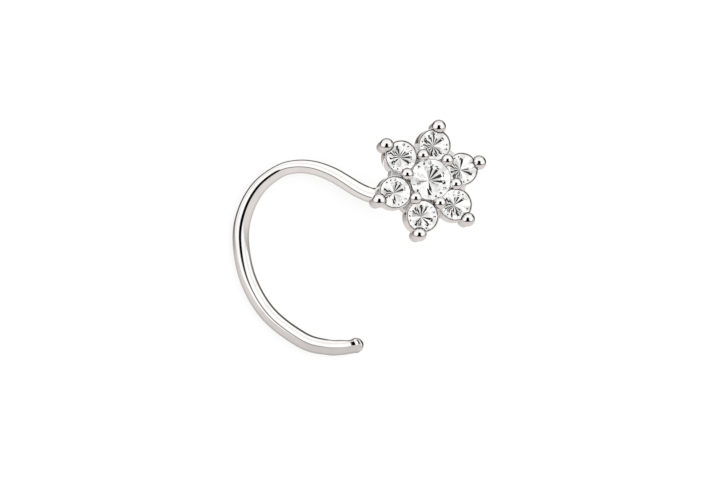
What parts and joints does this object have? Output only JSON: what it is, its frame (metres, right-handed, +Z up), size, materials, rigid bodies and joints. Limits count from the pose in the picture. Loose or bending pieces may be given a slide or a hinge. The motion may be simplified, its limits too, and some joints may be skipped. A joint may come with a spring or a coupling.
{
  "type": "nose hoop with a flower of stones",
  "caption": "Nose hoop in polished white metal: a flower of round brilliant stones in claw-set collars, on a post that bends into an open wire hoop with a ball end.",
  "frame": {"origin": "on the floor that the hoop lies on, under the middle of the whole object's box", "axes": "+Z up, out of the plane of the hoop; +X from the hoop's centre towards the foot of the post; +Y completes the right-handed frame"},
  "size_m": [0.0112, 0.0098, 0.0078],
  "materials": {
    "polished_silver": "mirror polish",
    "clear_stone": "polished facets"
  },
  "bodies": {
    "root": {"setting_and_hoop": "polished_silver", "centre_stone": "clear_stone", "petal_stone_1": "clear_stone", "petal_stone_2": "clear_stone", "petal_stone_3": "clear_stone", "petal_stone_4": "clear_stone", "petal_stone_5": "clear_stone", "petal_stone_6": "clear_stone"}
  },
  "joints": []
}
